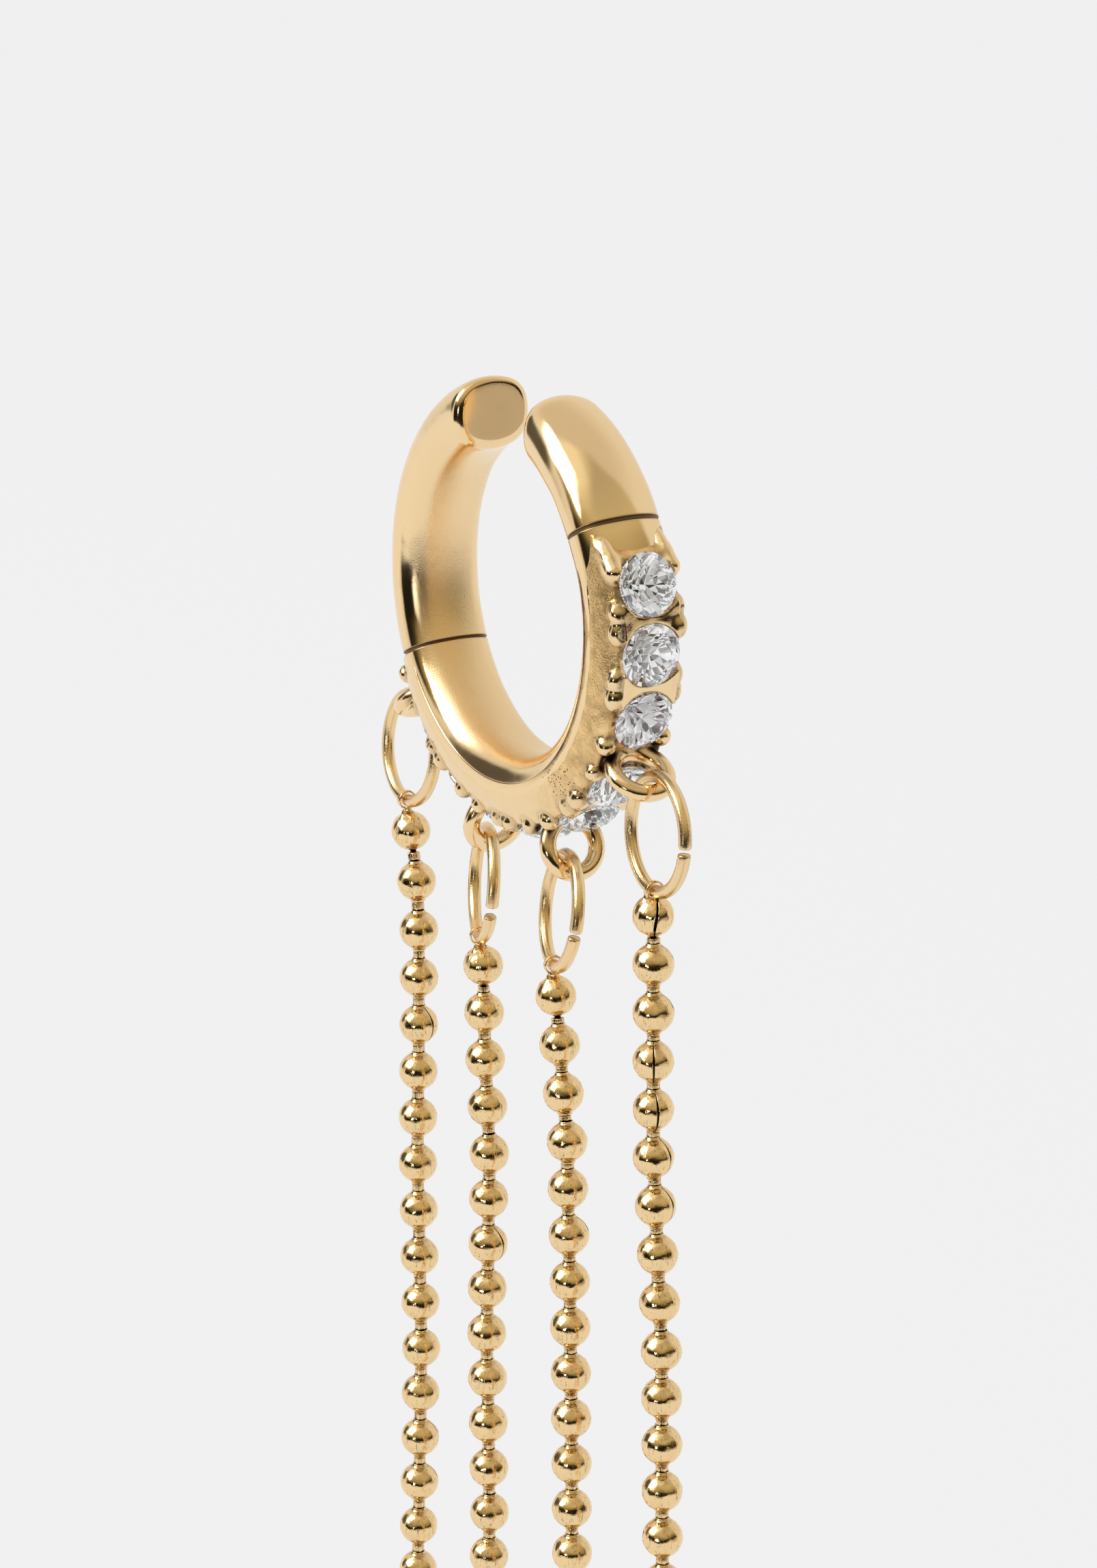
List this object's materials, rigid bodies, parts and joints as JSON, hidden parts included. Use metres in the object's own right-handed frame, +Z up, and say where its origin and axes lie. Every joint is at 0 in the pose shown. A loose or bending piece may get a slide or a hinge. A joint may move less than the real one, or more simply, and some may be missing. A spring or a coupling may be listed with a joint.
{
  "type": "chain ear cuff",
  "caption": "Open gold ear cuff of oval section, its lower arc set with a row of round clear stones and hung with ball chains on jump rings.",
  "frame": {"origin": "centre of the hoop's clear hollow, on its middle plane", "axes": "+Z up towards the opening between the hoop's tips, +Y along the hoop's axis, +X towards the side where the row of stones begins"},
  "size_m": [0.0177, 0.0026, 0.0417],
  "materials": {
    "polished_gold": "polished gold plate, matt as cast at the sides of the setting",
    "clear_stone": "clear faceted",
    "ring_wire_gold": "drawn wire, gold plate",
    "bead_gold": "polished gold plate",
    "pin_gold": "polished gold plate"
  },
  "bodies": {
    "root": {"cuff": "polished_gold", "stone_1": "clear_stone", "stone_2": "clear_stone", "stone_3": "clear_stone", "stone_4": "clear_stone", "stone_5": "clear_stone", "stone_6": "clear_stone", "stone_7": "clear_stone", "stone_8": "clear_stone", "stone_9": "clear_stone", "jump_ring_1": "ring_wire_gold", "jump_ring_2": "ring_wire_gold", "jump_ring_3": "ring_wire_gold", "jump_ring_4": "ring_wire_gold", "chain_1_beads": "bead_gold", "chain_1_pins": "pin_gold", "chain_2_beads": "bead_gold", "chain_2_pins": "pin_gold", "chain_3_beads": "bead_gold", "chain_3_pins": "pin_gold", "chain_4_beads": "bead_gold", "chain_4_pins": "pin_gold"}
  },
  "joints": []
}
